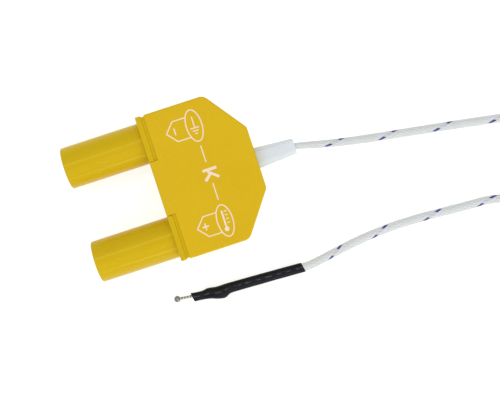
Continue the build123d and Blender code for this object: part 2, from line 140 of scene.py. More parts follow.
# The black sleeve's ends and the bead, in millimetres; the cable's last points count along the sleeve's axis
SHRINK_MOUTH = Vector((16.09, -23.19, 1.27))
SHRINK_TIP = Vector((-6.37, -21.97, 1.27))
SLEEVE_LENGTH = (SHRINK_TIP - SHRINK_MOUTH).length
SLEEVE_AXIS = (SHRINK_TIP - SHRINK_MOUTH).normalized()
SLEEVE_SIDE = Vector((SLEEVE_AXIS.y, -SLEEVE_AXIS.x, 0.0))
UP = Vector((0.0, 0.0, 1.0))
BEFORE_MOUTH = 1.6
BINDING_TO = 19.4
BEAD_CENTRE = Vector((-9.4, -21.5, 0.66))

# Put-away coil, in millimetres, with the angle at which it starts in degrees and a layer's rise in turns
COIL_CENTRE = (79.6, -21.3)
COIL_LAYERS = 6
COIL_TURNS = 15.57
LAYER_PITCH = 1.3
OUTER_TURN_R = 11.4
INNER_TURN_R = 7.25
COIL_IN_ANGLE = 82.5
POINTS_PER_TURN = 16
LAYER_RISE = 0.25


# Node materials


def srgb(red, green, blue):
    """A colour of 0 to 255 as a linear one of 0 to 1."""
    shares = [value / 255 for value in (red, green, blue)]
    return tuple(s / 12.92 if s <= 0.04045 else ((s + 0.055) / 1.055) ** 2.4 for s in shares)


YELLOW = srgb(219, 180, 10)
YELLOW_DEEP = srgb(212, 170, 6)
YELLOW_PALE = srgb(232, 196, 40)
SHROUD = srgb(210, 176, 23)
SHROUD_DEEP = srgb(202, 167, 19)
SHROUD_GLOSS_TINT = (1.0, 0.95, 0.3)
RELIEF_WHITE = srgb(220, 228, 233)
INK = srgb(246, 222, 196)
VINYL = srgb(34, 34, 36)
VINYL_DEEP = srgb(24, 24, 26)
VINYL_PALE = srgb(60, 60, 62)
NICKEL = (0.78, 0.74, 0.68)
SPRING_GOLD = (0.80, 0.68, 0.46)
FERRULE_GOLD = (0.72, 0.66, 0.54)
STEEL = (0.58, 0.58, 0.59)
CHROMEL = (0.52, 0.52, 0.49)
ALUMEL = (0.48, 0.48, 0.45)
BEAD_GREY = (0.29, 0.295, 0.265)
PAPER = (0.45, 0.45, 0.45)
ALONG_WIRE = (0.2, 1.0, 1.0)


class Field:
    """A number that varies over a surface: a Math node's result, with Python's own operators."""

    def __init__(self, tree, socket):
        self.tree, self.socket = tree, socket

    def math(self, operation, *others, clamp=False):
        node = self.tree.nodes.new("ShaderNodeMath")
        node.operation, node.use_clamp = operation, clamp
        for place, value in zip(node.inputs, (self, *others)):
            if isinstance(value, Field):
                self.tree.links.new(value.socket, place)
            else:
                place.default_value = value
        return Field(self.tree, node.outputs[0])

    def __add__(self, other):
        return self.math("ADD", other)

    def __sub__(self, other):
        return self.math("SUBTRACT", other)

    def __mul__(self, other):
        return self.math("MULTIPLY", other)

    __radd__, __rmul__ = __add__, __mul__

    def floor(self):
        return self.math("FLOOR")

    def fraction(self):
        return self.math("FRACT")

    def cosine(self):
        return self.math("COSINE")

    def below(self, limit):
        return self.math("LESS_THAN", limit)

    def above(self, limit):
        return self.math("GREATER_THAN", limit)

    def clamped(self):
        return self.math("ADD", 0.0, clamp=True)

    def patches(self, gain, drop, most=1.0):
        """0 where the field is low, and up to most where it is high: gain is how steeply, drop how rarely."""
        return (self * gain - drop).clamped() * most

    def between(self, low, high):
        return self.above(low) * self.below(high)


class Material:
    """A node material: its Principled shader, and short ways to feed the shader's sockets."""

    def __init__(self, name, color, roughness, **sockets):
        self.data = bpy.data.materials.new(name)
        self.data.use_nodes = True
        self.tree = self.data.node_tree
        self.shader = self.tree.nodes["Principled BSDF"]
        self.set_socket("Base Color", (*color, 1.0))
        self.set_socket("Roughness", roughness)
        for socket, value in sockets.items():
            self.set_socket(socket.replace("_", " "), value)
        self.bumps = None

    def set_socket(self, socket, value):
        self.shader.inputs[socket].default_value = value

    def node(self, kind, **values):
        """A node, with its settings in small letters and its sockets by their own names."""
        made = self.tree.nodes.new(kind)
        for name, value in values.items():
            if hasattr(made, name):
                setattr(made, name, value)
            else:
                made.inputs[name.replace("_", " ")].default_value = value
        return made

    def place(self, stretch=(1.0, 1.0, 1.0)):
        """The object's own coordinates in metres, stretched along each axis."""
        coordinates = self.node("ShaderNodeTexCoord")
        mapping = self.node("ShaderNodeMapping", Scale=stretch)
        self.tree.links.new(coordinates.outputs["Object"], mapping.inputs["Vector"])
        return mapping.outputs["Vector"]

    def along_and_around(self):
        """Two fields from the piece's UV map: the first along it, the second around it."""
        uv = self.node("ShaderNodeUVMap")
        split = self.node("ShaderNodeSeparateXYZ")
        self.tree.links.new(uv.outputs["UV"], split.inputs["Vector"])
        return Field(self.tree, split.outputs["X"]), Field(self.tree, split.outputs["Y"])

    def noise(self, scale, detail=2.0, stretch=(1.0, 1.0, 1.0), distortion=0.0):
        made = self.node("ShaderNodeTexNoise", Scale=scale, Detail=detail, Distortion=distortion)
        self.tree.links.new(self.place(stretch), made.inputs["Vector"])
        return Field(self.tree, made.outputs["Fac"])

    def cells(self, scale, stretch=(1.0, 1.0, 1.0)):
        made = self.node("ShaderNodeTexVoronoi", Scale=scale)
        self.tree.links.new(self.place(stretch), made.inputs["Vector"])
        return Field(self.tree, made.outputs["Distance"])

    def color(self, *layers):
        """Colours laid over each other: the first alone, then pairs of a field and a colour."""
        base, rest = layers[0], layers[1:]
        below = None
        for amount, colour in rest:
            mix = self.node("ShaderNodeMix", data_type="RGBA")
            a, b = [s for s in mix.inputs if s.type == "RGBA"]
            if below is None:
                a.default_value = (*base, 1.0)
            else:
                self.tree.links.new(below, a)
            b.default_value = (*colour, 1.0)
            self.tree.links.new(amount.socket, mix.inputs["Factor"])
            below = next(s for s in mix.outputs if s.type == "RGBA")
        self.tree.links.new(below, self.shader.inputs["Base Color"])

    def feed(self, socket, field):
        self.tree.links.new(field.socket, self.shader.inputs[socket])

    def bump(self, height, distance, strength=1.0):
        """Relief of a field's height times distance, in metres."""
        made = self.node("ShaderNodeBump", Strength=strength, Distance=distance)
        self.tree.links.new(height.socket, made.inputs["Height"])
        if self.bumps is not None:
            self.tree.links.new(self.bumps, made.inputs["Normal"])
        self.bumps = made.outputs["Normal"]
        self.tree.links.new(self.bumps, self.shader.inputs["Normal"])


def moulded(name, colour, darker, lighter, roughness, grain, gloss=0.15, tint=(1.0, 1.0, 1.0)):
    """Moulded nylon: slow changes of colour, a fine grain in its surface and a few faint scuffs."""
    made = Material(name, colour, roughness, Specular_IOR_Level=gloss, Specular_Tint=(*tint, 1.0))
    slow = made.noise(90.0, 3.0)
    specks = made.noise(2600.0, 1.0)
    made.color(
        colour,
        (slow.patches(2.4, 0.9, 0.5), darker),
        (specks.patches(5.0, 2.9, 0.35), lighter),
    )
    scuffs = made.noise(420.0, 4.0, stretch=(0.25, 1.6, 1.0), distortion=0.6)
    made.feed("Roughness", (slow * 0.08 + scuffs * 0.12) + (roughness - 0.1))
    made.bump(made.noise(3200.0, 2.0), grain)
    made.bump(made.cells(1500.0), grain * 0.5)
    return made.data


def metal(name, colour, roughness, brushed=(1.0, 1.0, 1.0), tarnish=0.3, relief=0.004 * MM):
    """Worked metal: fine tool marks, with patches that are a little darker and duller."""
    made = Material(name, colour, roughness, Metallic=1.0)
    stains = made.noise(700.0, 4.0)
    marks = made.noise(5200.0, 2.0, stretch=brushed)
    dark = tuple(share * 0.55 for share in colour)
    made.color(colour, (stains.patches(2.6, 1.1, tarnish), dark))
    made.feed("Roughness", (stains * 0.22 + marks * 0.12) + (roughness - 0.15))
    made.bump(marks, relief)
    return made.data


def nylon_white():
    """Natural nylon: milky, with faint flow lines from the mould."""
    made = Material(
        "relief_nylon",
        RELIEF_WHITE,
        0.36,
        Specular_IOR_Level=0.45,
        Subsurface_Weight=0.35,
        Subsurface_Radius=(1.0, 0.9, 0.75),
        Subsurface_Scale=1.2 * MM,
    )
    flow = made.noise(500.0, 3.0, stretch=(0.3, 1.0, 1.0))
    made.color(RELIEF_WHITE, (flow.patches(2.0, 0.8, 0.5), srgb(206, 213, 219)))
    made.feed("Roughness", flow * 0.2 + 0.26)
    made.bump(made.noise(2400.0, 2.0), 0.006 * MM)
    return made.data


def braid_layers(along, around):
    """The braid's two families of yarns at a place, as numbers or as fields.

    along counts braid pitches and around counts turns. Each family gives its yarn's number, the place
    across that yarn from 0 to 1, and how far the yarn stands up, from -1 to 1, as it goes over two
    yarns of the other family and under the next two.
    """
    floor = np.floor if isinstance(along, np.ndarray) else Field.floor
    cosine = np.cos if isinstance(along, np.ndarray) else Field.cosine
    right, left = (along - around) * YARNS, (along + around) * YARNS
    right_yarn, left_yarn = floor(right), floor(left)
    right_rise = cosine((left + right_yarn - 1.0) * (pi / 2))
    left_rise = cosine((right + left_yarn - 3.0) * (pi / 2))
    return (right_yarn, right - right_yarn, right_rise), (left_yarn, left - left_yarn, left_rise)


def glass_braid():
    """Varnished glass yarns in a two-over-two braid, one of them blue."""
    pale, warm, shade = srgb(221, 224, 223), srgb(212, 211, 203), srgb(168, 174, 174)
    blue, blue_under = srgb(50, 50, 140), srgb(170, 178, 196)
    made = Material("glass_braid", pale, 0.5, Specular_IOR_Level=0.35, Sheen_Weight=0.1)
    along, around = made.along_and_around()
    (right_yarn, right_across, right_rise), (_, left_across, left_rise) = braid_layers(along, around)
    right_on_top = right_rise.above(left_rise)
    # how near a yarn's edge a place is, from 0 in its middle to 1 at its edge
    right_edge = (right_across - 0.5).math("ABSOLUTE") * 2.0
    left_edge = (left_across - 0.5).math("ABSOLUTE") * 2.0
    swap = right_on_top * -1.0 + 1.0
    edge = right_edge * right_on_top + left_edge * swap
    rise = right_rise * right_on_top + left_rise * swap
    numbered = (right_yarn - TRACER_YARN) * (1.0 / YARNS)
    on_tracer = numbered.fraction().below(0.5 / YARNS)
    tracer = on_tracer * right_on_top * edge.below(0.82) * rise.above(0.25)
    # the thin white yarns over the tracer let a little of its blue through
    showing_through = on_tracer * swap * (left_edge * 0.3 + 0.2)
    # painted shade: the colour darkens towards each yarn's edges and where a yarn dips under the other family
    painted_gap_shade = (edge * edge * edge * 0.44 + (rise * -0.25 + 0.1).clamped()).clamped()
    stain = made.noise(260.0, 3.0)
    made.color(
        pale,
        (stain.patches(2.2, 0.8, 0.6), warm),
        (painted_gap_shade, shade),
        (showing_through, blue_under),
        (tracer, blue),
    )
    filaments = ((right_across * right_on_top + left_across * swap) * (2 * pi * 6)).cosine()
    made.bump(edge * edge * -1.0 + rise * 0.6, 0.016 * MM)
    made.bump(filaments, 0.004 * MM)
    return made.data


def heat_shrink_black():
    """Shrunk sleeve: soft sheen, fine creases, and one line of faint, worn dashes."""
    black = srgb(15, 17, 21)
    made = Material("heat_shrink", black, 0.45, Specular_IOR_Level=0.14)
    along, around = made.along_and_around()
    dust = made.noise(900.0, 4.0)
    beat = (along * (1.0 / DASH_STEP)).fraction()
    dashes = beat.below(0.62) * around.between(*DASH_LINE)
    worn = made.noise(1300.0, 2.0).patches(4.0, 1.5)
    made.color(
        black,
        (dust.patches(2.4, 0.9, 0.6), srgb(32, 34, 39)),
        (dashes * worn * 0.6, srgb(84, 88, 102)),
    )
    made.feed("Roughness", dust * 0.25 + 0.28)
    made.bump(made.noise(1500.0, 3.0), 0.012 * MM)
    made.bump(made.noise(500.0, 2.0, stretch=(0.35, 1.0, 1.0)), 0.03 * MM)
    return made.data


def plain_yarn(name, colour):
    """Yarn wound or braided too small to see one by one."""
    made = Material(name, colour, 0.75, Sheen_Weight=0.3)
    fibres = made.noise(4200.0, 2.0, stretch=(0.3, 1.0, 1.0))
    made.color(colour, (fibres.patches(2.5, 0.9, 0.6), tuple(share * 0.5 for share in colour)))
    made.bump(fibres, 0.03 * MM)
    return made.data


def print_ink():
    """Pale pad-printed ink, a little uneven and thin in places."""
    made = Material("print_ink", INK, 0.55, Specular_IOR_Level=0.3)
    patchy = made.noise(3000.0, 3.0)
    made.color(INK, (patchy.patches(4.0, 2.1, 0.7), srgb(232, 198, 120)))
    made.bump(patchy, 0.01 * MM)
    return made.data


def paper_floor():
    """Lit white paper: it gives some light of its own, so that it stays white round the object."""
    made = Material(
        "floor",
        PAPER,
        0.9,
        Specular_IOR_Level=0.0,
        Emission_Color=(1.0, 1.0, 1.0, 1.0),
        Emission_Strength=0.72,
    )
    made.color(PAPER, (made.noise(40.0, 3.0) * 0.3, (0.44, 0.44, 0.443)))
    return made.data


LOOKS = {
    "housing_yellow": moulded("housing_yellow", YELLOW, YELLOW_DEEP, YELLOW_PALE, 0.5, 0.012 * MM),
    "shroud_yellow": moulded(
        "shroud_yellow", SHROUD, SHROUD_DEEP, YELLOW_PALE, 0.2, 0.002 * MM, 0.17, SHROUD_GLOSS_TINT
    ),
    "pin_nickel": metal("pin_nickel", NICKEL, 0.22, brushed=(1.0, 0.05, 0.05), tarnish=0.15),
    "spring_metal": metal("spring_metal", SPRING_GOLD, 0.28, brushed=(0.1, 1.0, 1.0)),
    "screw_steel": metal("screw_steel", STEEL, 0.34),
    "relief_nylon": nylon_white(),
    "glass_braid": glass_braid(),
    "positive_braid": plain_yarn("positive_braid", srgb(214, 176, 40)),
    "negative_braid": plain_yarn("negative_braid", srgb(168, 40, 34)),
    "sleeve_black": heat_shrink_black(),
    "binding_yarn": plain_yarn("binding_yarn", srgb(220, 218, 206)),
    "chromel": metal("chromel", CHROMEL, 0.4, brushed=ALONG_WIRE),
    "alumel": metal("alumel", ALUMEL, 0.42, brushed=ALONG_WIRE),
    "bead_metal": metal("bead_metal", BEAD_GREY, 0.44, tarnish=0.7, relief=0.02 * MM),
    "ferrule_metal": metal("ferrule_metal", FERRULE_GOLD, 0.3),
    "tie_vinyl": moulded("tie_vinyl", VINYL, VINYL_DEEP, VINYL_PALE, 0.4, 0.01 * MM),
}


# Building pieces


def placed(name, mesh, material):
    """A finished mesh as a named piece in one material, on the root body."""
    made = bpy.data.objects.new(name, mesh)
    bpy.context.scene.collection.objects.link(made)
    mesh.materials.append(material)
    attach(made, "root")
    return made


def piece(name, mesh, slot, *stands_for):
    """A piece in its slot's look, in place of the CAD nodes it stands for."""
    made = placed(name, mesh, LOOKS[slot])
    if stands_for:
        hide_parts(*stands_for)
    return made


def smooth(mesh):
    mesh.polygons.foreach_set("use_smooth", [True] * len(mesh.polygons))
    mesh.update()


def curve_line(name, points, resolution):
    """The smooth line that a NURBS spline makes of control points in metres, as an array of points."""
    data = bpy.data.curves.new(name, "CURVE")
    data.dimensions = "3D"
    data.resolution_u = resolution
    spline = data.splines.new("NURBS")
    spline.points.add(len(points) - 1)
    for place, point in zip(spline.points, points):
        place.co = (*point, 1.0)
    spline.order_u = 3
    spline.use_endpoint_u = True
    holder = bpy.data.objects.new(name, data)
    bpy.context.scene.collection.objects.link(holder)
    drawn = bpy.data.meshes.new_from_object(holder)
    line = np.array([vertex.co[:] for vertex in drawn.vertices])
    bpy.data.objects.remove(holder)
    bpy.data.meshes.remove(drawn)
    return line


def distances(line):
    """How far along a line each of its points is."""
    steps = np.linalg.norm(np.diff(line, axis=0), axis=1)
    return np.concatenate([[0.0], np.cumsum(steps)])


def thinned(line, spacing_at):
    """Some of a line's own points, kept at about the spacing that spacing_at gives for each distance."""
    far = distances(line)
    kept = [0]
    for index in range(1, len(line)):
        if far[index] - far[kept[-1]] >= spacing_at(far[index]):
            kept.append(index)
    if kept[-1] != len(line) - 1:
        kept.append(len(line) - 1)
    return line[kept], far[kept]


def frames_along(line):
    """Unit vectors across a line, turning with it as little as possible: (side, up) at each point."""
    ahead = np.gradient(line, axis=0)
    ahead /= np.linalg.norm(ahead, axis=1)[:, None]
    side = np.cross(ahead[0], (0.0, 0.0, 1.0))
    sides = []
    for direction in ahead:
        side = side - direction * side.dot(direction)
        side /= np.linalg.norm(side)
        sides.append(side)
    sides = np.array(sides)
    return sides, np.cross(sides, ahead)


def tube_mesh(name, rings, along=None):
    """A closed tube through rings, an array of (ring, place around it, xyz), with capped ends.

    If along is given, a UV map holds its value for each ring and a share of a turn for each place.
    """
    count, around, _ = rings.shape
    mesh = bpy.data.meshes.new(name)
    ring, place = np.meshgrid(np.arange(count - 1), np.arange(around), indexing="ij")
    following = (place + 1) % around
    faces = np.stack(
        [ring * around + place, ring * around + following,
         (ring + 1) * around + following, (ring + 1) * around + place], axis=-1
    ).reshape(-1, 4)
    caps = [list(range(around))[::-1], [(count - 1) * around + k for k in range(around)]]
    mesh.from_pydata(rings.reshape(-1, 3).tolist(), [], faces.tolist() + caps)
    if along is not None:
        layer = mesh.uv_layers.new(name="UVMap")
        u = np.stack([along[ring], along[ring], along[ring + 1], along[ring + 1]], axis=-1)
        v = np.stack([place, place + 1, place + 1, place], axis=-1) / around
        sheet = np.stack([u.reshape(-1), v.reshape(-1)], axis=-1)
        cap_ends = np.concatenate([np.full(around, along[0]), np.full(around, along[-1])])
        cap_turn = np.concatenate([np.arange(around)[::-1], np.arange(around)]) / around
        sheet = np.concatenate([sheet, np.stack([cap_ends, cap_turn], axis=-1)])
        layer.data.foreach_set("uv", sheet.astype(np.float32).ravel())
    smooth(mesh)
    return mesh


def ring_places(line, radius, sides_count):
    """Rings of points round a line: radius is one number, or one for each ring and place around it."""
    side, up = frames_along(line)
    turn = np.arange(sides_count) / sides_count * 2 * pi
    across = (np.cos(turn) * radius)[..., None] * side[:, None, :]
    upward = (np.sin(turn) * radius)[..., None] * up[:, None, :]
    return line[:, None, :] + across + upward


# Camera, lights and floor


def set_stage():
    scene = bpy.context.scene
    camera = bpy.data.objects.new("camera", bpy.data.cameras.new("camera"))
    camera.data.lens = CAMERA_LENS
    camera.data.clip_start = 0.01
    camera.location = CAMERA_AT
    camera.rotation_euler = (0.0, 0.0, CAMERA_TURN)
    scene.collection.objects.link(camera)
    scene.camera = camera

    for name, (place, target, width, height, power) in LIGHTS.items():
        light = bpy.data.lights.new(name, "AREA")
        light.shape, light.size, light.size_y, light.energy = "RECTANGLE", width, height, power
        holder = bpy.data.objects.new(name, light)
        holder.location = place
        holder.rotation_euler = (Vector(target) - Vector(place)).to_track_quat("-Z", "Y").to_euler()
        scene.collection.objects.link(holder)

    world = bpy.data.worlds.new("studio")
    world.use_nodes = True
    background = world.node_tree.nodes["Background"]
    background.inputs["Color"].default_value = (*WORLD_LIGHT, 1.0)
    background.inputs["Strength"].default_value = WORLD_STRENGTH
    scene.world = world
    scene.view_settings.view_transform = "Standard"

    floor_mesh = bpy.data.meshes.new("floor")
    grid = bmesh.new()
    bmesh.ops.create_grid(grid, x_segments=1, y_segments=1, size=FLOOR_SIZE)
    grid.to_mesh(floor_mesh)
    grid.free()
    floor_mesh.materials.append(paper_floor())
    floor = bpy.data.objects.new("floor", floor_mesh)
    floor.location = (0.0, 0.0, cad_low.z - FLOOR_GAP)
    scene.collection.objects.link(floor)


# Cable


def coil_points():
    """Control points of the put-away coil, in millimetres: layers wound inwards and outwards in turn."""
    steps = round(COIL_TURNS * POINTS_PER_TURN)
    turns_per_layer = COIL_TURNS / COIL_LAYERS
    half_step = pi / POINTS_PER_TURN
    swell = 1 / (0.75 + 0.25 * cos(2 * half_step))
    points = []
    for step in range(steps + 1):
        turns = COIL_TURNS * step / steps
        layer = min(int(turns / turns_per_layer), COIL_LAYERS - 1)
        share = turns / turns_per_layer - layer
        inwards = share if layer % 2 == 0 else 1 - share
        radius = (OUTER_TURN_R + (INNER_TURN_R - OUTER_TURN_R) * inwards) * swell
        rise = min(share * turns_per_layer / LAYER_RISE, 1.0) - 1.0 if layer > 0 else 0.0
        z = CABLE_R / MM + LAYER_PITCH * (layer + rise)
        angle = radians(COIL_IN_ANGLE) - 2 * pi * turns
        points.append((COIL_CENTRE[0] + radius * cos(angle), COIL_CENTRE[1] + radius * sin(angle), z))
    return points


def smooth_step(share):
    share = np.clip(share, 0.0, 1.0)
    return share * share * (3 - 2 * share)


def braid_turns(far, sleeve_mouth, coil_from, coil_to):
    """Turns of the braid at each distance from the strain relief, with its pitch as each stretch shows it."""
    to_sleeve = sleeve_mouth - far
    pitch = np.interp(to_sleeve / MM, PITCH_CHANGES, [PITCH_AT_SLEEVE, PITCH_BACK]) * MM
    steps = np.diff(far)
    back = np.concatenate([[0.0], np.cumsum(steps / (0.5 * (pitch[1:] + pitch[:-1])))])
    back -= np.interp(sleeve_mouth, far, back)
    out = far / (PITCH_OUT * MM) + PHASE_OUT
    # a whole number of turns between the two, plus the difference that shows
    at_coil = np.interp(coil_from, far, out), np.interp(coil_to, far, back)
    mean_pitch = (PITCH_OUT + PITCH_BACK) / 2 * MM
    back += round(at_coil[0] - at_coil[1] + (coil_to - coil_from) / mean_pitch) + PHASE_BACK
    through_coil = np.interp(far, [coil_from, coil_to], [at_coil[0], np.interp(coil_to, far, back)])
    return np.where(far < coil_from, out, np.where(far > coil_to, back, through_coil))


def make_cable():
    """The whole cable on one smooth line, from the strain relief through the coil into the black sleeve."""
    into_sleeve = [
        SHRINK_MOUTH - SLEEVE_AXIS * BEFORE_MOUTH,
        SHRINK_MOUTH,
        SHRINK_MOUTH + SLEEVE_AXIS * (BINDING_TO / 2),
        SHRINK_MOUTH + SLEEVE_AXIS * BINDING_TO,
    ]
    route = [Vector(point) * MM for point in (*RUN_OUT, *coil_points(), *RUN_BACK, *into_sleeve)]
    line = curve_line("cable_line", route, CABLE_RESOLUTION)
    total = distances(line)[-1]
    coil_from, coil_to = FREE_BEFORE_COIL, total - FREE_AFTER_COIL

    def spacing(far):
        return COARSE_RING if coil_from < far < coil_to else FINE_RING

    line, far = thinned(line, spacing)
    sleeve_mouth = total - BINDING_TO * MM
    radius = CABLE_R - (CABLE_R - ENTRY_R) * np.exp(-far / ENTRY_SWELL)
    # inside the black sleeve the braid is cut back to the bare pair
    radius *= 1 - CUT_BACK_SHARE * smooth_step((far - sleeve_mouth - CUT_BACK_FROM) / CUT_BACK_OVER)
    along = braid_turns(far, sleeve_mouth, coil_from, coil_to)
    around = np.arange(CABLE_SIDES) / CABLE_SIDES
    right, left = braid_layers(*np.broadcast_arrays(along[:, None], around[None, :]))
    (_, right_across, right_rise), (_, left_across, left_rise) = right, left
    right_height = right_rise - (2 * right_across - 1) ** 2
    left_height = left_rise - (2 * left_across - 1) ** 2
    in_detail = (far < coil_from) | (far > coil_to)
    relief = BRAID_RELIEF * np.maximum(right_height, left_height) * in_detail[:, None]
    lumps = np.array([noise.noise((0.0, 0.0, distance * LUMPS_PER_METRE)) for distance in far]) * LUMP_SHARE
    rings = ring_places(line, radius[:, None] * (1 + lumps[:, None]) - BRAID_RELIEF + relief, CABLE_SIDES)
    cable = piece(
        "cable",
        tube_mesh("cable", rings, along),
        "glass_braid",
        "cable_run_out",
        "cable_coil",
        "cable_run_back",
        "cable_tail",
    )
    return cable, line


# Measuring end, in millimetres

# the sleeve's outline: distance from its mouth, then its two edges' distances from its axis
SLEEVE_EDGES = [
    (0.0, 0.98, -0.98),
    (4.0, 0.97, -1.03),
    (9.3, 0.93, -1.10),
    (13.0, 0.90, -1.16),
    (15.3, 0.84, -1.27),
    (16.5, 0.78, -1.80),
    (17.3, 0.76, -1.86),
    (18.2, 0.86, -1.66),
    (19.1, 0.90, -1.36),
    (20.2, 0.68, -1.16),
    (21.3, 0.70, -1.06),
    (22.6, 0.82, -1.02),
]
# half the sleeve's height at distances from its mouth: it bulges over the binding and is low at its tip
SLEEVE_HEIGHTS = [(0.0, 0.86), (14.5, 0.86), (16.4, 1.16), (18.5, 1.16), (20.3, 0.74), (SLEEVE_LENGTH, 0.70)]
SLEEVE_OFF_FLOOR = 0.02
SLEEVE_THICKNESS = 0.13
# how much its ends slant, and how far it reaches past its mouth
SLEEVE_SKEW = 0.24
SLEEVE_LIP = 0.22
CREASES_PER_MM = 1.1
CREASE_SHARE = 0.018
SLEEVE_SIDES = 48
SLEEVE_RINGS = 150
# how many rings the wall runs back inside at each end
MOUTH_RINGS = 12
TIP_RINGS = 14


def sleeve_profile(distance):
    """The sleeve's upper and lower edge at a distance from its mouth, along a smooth line."""
    table = np.array(SLEEVE_EDGES)
    knots = np.clip(np.searchsorted(table[:, 0], distance) - 1, 0, len(table) - 2)
    padded = np.vstack([2 * table[0] - table[1], table, 2 * table[-1] - table[-2]])
    before, start, end, after = (padded[knots + offset, 1:] for offset in range(4))
    share = ((distance - table[knots, 0]) / (table[knots + 1, 0] - table[knots, 0]))[:, None]
    bend = 2 * start + (end - before) * share
    bend += (2 * before - 5 * start + 4 * end - after) * share**2
    bend += (3 * start - before - 3 * end + after) * share**3
    return (bend / 2).T


def make_sleeve():
    """The black sleeve: slanted at its mouth, bulging over the binding, creased, and with a wall."""
    mouth, axis, side, up = (np.array(vector) for vector in (SHRINK_MOUTH, SLEEVE_AXIS, SLEEVE_SIDE, UP))
    distance = np.linspace(-SLEEVE_LIP, SLEEVE_LENGTH, SLEEVE_RINGS)
    upper, lower = sleeve_profile(distance)
    middle, half = (upper + lower) / 2, (upper - lower) / 2
    turn = np.arange(SLEEVE_SIDES) / SLEEVE_SIDES * 2 * pi
    height = np.interp(distance, *np.array(SLEEVE_HEIGHTS).T)
    height = np.minimum(height, SHRINK_MOUTH.z - SLEEVE_OFF_FLOOR)

    def rings(inset, at):
        sideways = middle[at, None] + np.cos(turn) * (half[at, None] - inset)
        upward = np.sin(turn) * (height[at, None] - inset)
        skewed = distance[at, None] + SLEEVE_SKEW * sideways
        places = mouth + skewed[..., None] * axis + sideways[..., None] * side + upward[..., None] * up
        # creases where the sleeve shrank on what is under it
        creases = np.array([[noise.noise(Vector(p) * CREASES_PER_MM) for p in ring] for ring in places])
        middle_line = mouth + skewed[..., None] * axis + middle[at, None, None] * side
        return middle_line + (places - middle_line) * (1 + CREASE_SHARE * creases[..., None])

    every = np.arange(len(distance))
    outside = rings(0.0, every)
    # the sleeve's wall turns in at both ends, and its inside runs a little way back
    mouth_inside = rings(SLEEVE_THICKNESS, every[:MOUTH_RINGS])[::-1]
    tip_inside = rings(SLEEVE_THICKNESS, every[-TIP_RINGS:])[::-1]
    loop = np.concatenate([mouth_inside, outside, tip_inside])
    along = np.concatenate([distance[:MOUTH_RINGS][::-1], distance, distance[-TIP_RINGS:][::-1]])
    mesh = tube_mesh("heat_shrink_sleeve", loop * MM, along)
    return piece("heat_shrink_sleeve", mesh, "sleeve_black", "heat_shrink", "tip_binding")


TIP_WIRE_R = 0.15
TIP_WIRE_SIDES = 14
TIP_RESOLUTION = 40
# how far each wire's middle is from the pair's middle, and the length of one twist
TWIST_LAY = TIP_WIRE_R * 0.98
TWIST_PITCH = 1.15
# the pair's middle line: inside the sleeve, leaving it, on the way down, and in the bead
TIP_LINE = [
    SHRINK_MOUTH + SLEEVE_AXIS * 20.6 - SLEEVE_SIDE * 0.05,
    SHRINK_TIP + SLEEVE_AXIS * 0.3 + SLEEVE_SIDE * 0.16 - UP * 0.05,
    SHRINK_TIP + SLEEVE_AXIS * 1.5 + SLEEVE_SIDE * 0.22 - UP * 0.34,
    BEAD_CENTRE,
]


def make_tip_wires():
    """Two bare wires twisted round each other from inside the sleeve to the bead."""
    centre = curve_line("tip_line", [point * MM for point in TIP_LINE], TIP_RESOLUTION)
    far = distances(centre)
    side, up = frames_along(centre)
    made = []
    for metal_name, phase in (("chromel", 0.0), ("alumel", pi)):
        angle = (far / (TWIST_PITCH * MM) * 2 * pi + phase)[:, None]
        path = centre + (np.cos(angle) * side + np.sin(angle) * up) * (TWIST_LAY * MM)
        rings = ring_places(path, TIP_WIRE_R * MM, TIP_WIRE_SIDES)
        mesh = tube_mesh(f"{metal_name}_twisted_wire", rings, far / MM)
        made.append(piece(f"{metal_name}_twisted_wire", mesh, metal_name, f"{metal_name}_tip_wire"))
    return made


BEAD_R = 0.64
# its skin as shares of its radius: lumps as (how close together, how high), and the collar towards the wires
BEAD_SKIN = 0.975
BEAD_LUMPS = ((1.6, 0.05), (5.0, 0.018))
COLLAR_FROM = 0.8
COLLAR_GAIN = 0.9


def make_bead():
    """The weld bead: nearly round, with a lumpy skin and a small collar where the wires melted in."""
    ball = bmesh.new()
    bmesh.ops.create_icosphere(ball, subdivisions=5, radius=1.0)
    towards_wires = (SHRINK_TIP - BEAD_CENTRE).normalized()
    for vertex in ball.verts:
        direction = vertex.co.normalized()
        lumps = sum(noise.noise(direction * closeness) * high for closeness, high in BEAD_LUMPS)
        collar = max(0.0, direction.dot(towards_wires) - COLLAR_FROM) * COLLAR_GAIN
        vertex.co = (BEAD_CENTRE + direction * BEAD_R * (BEAD_SKIN + lumps + collar)) * MM
    mesh = bpy.data.meshes.new("weld_bead")
    ball.to_mesh(mesh)
    ball.free()
    smooth(mesh)
    return piece("weld_bead", mesh, "bead_metal", "junction_bead")


# Tie on the coil, in millimetres

TIE_THICKNESS = 0.3
TIE_CORNER = 1.2
CORNER_STEPS = 6
# its cross-section, across and outwards: a flat band over a round wire core
TIE_SECTION = [
    (-1.5, 0.0), (-1.5, -0.3), (-0.5, -0.3), (0.5, -0.3), (1.5, -0.3), (1.5, 0.0),
    (0.42, 0.0), (0.26, 0.16), (0.0, 0.22), (-0.26, 0.16), (-0.42, 0.0),
]
# its tails: their width as a share of the band's, their half turn, and the ends that lie open
TAIL_SHARE = 0.62
TAIL_HALF_TURN = 2.4
TAIL_OPEN = 4.5
TAIL_SPLAY = 1.7
TAIL_RESOLUTION = 24
# the tails' middle line, from the middle of the band's top
TAIL_LINE = [(0.4, 0.0, -0.1), (0.5, 0.1, 2.2), (0.6, 2.0, 2.6), (0.2, 6.0, 2.0), (-1.4, 11.5, 1.7)]


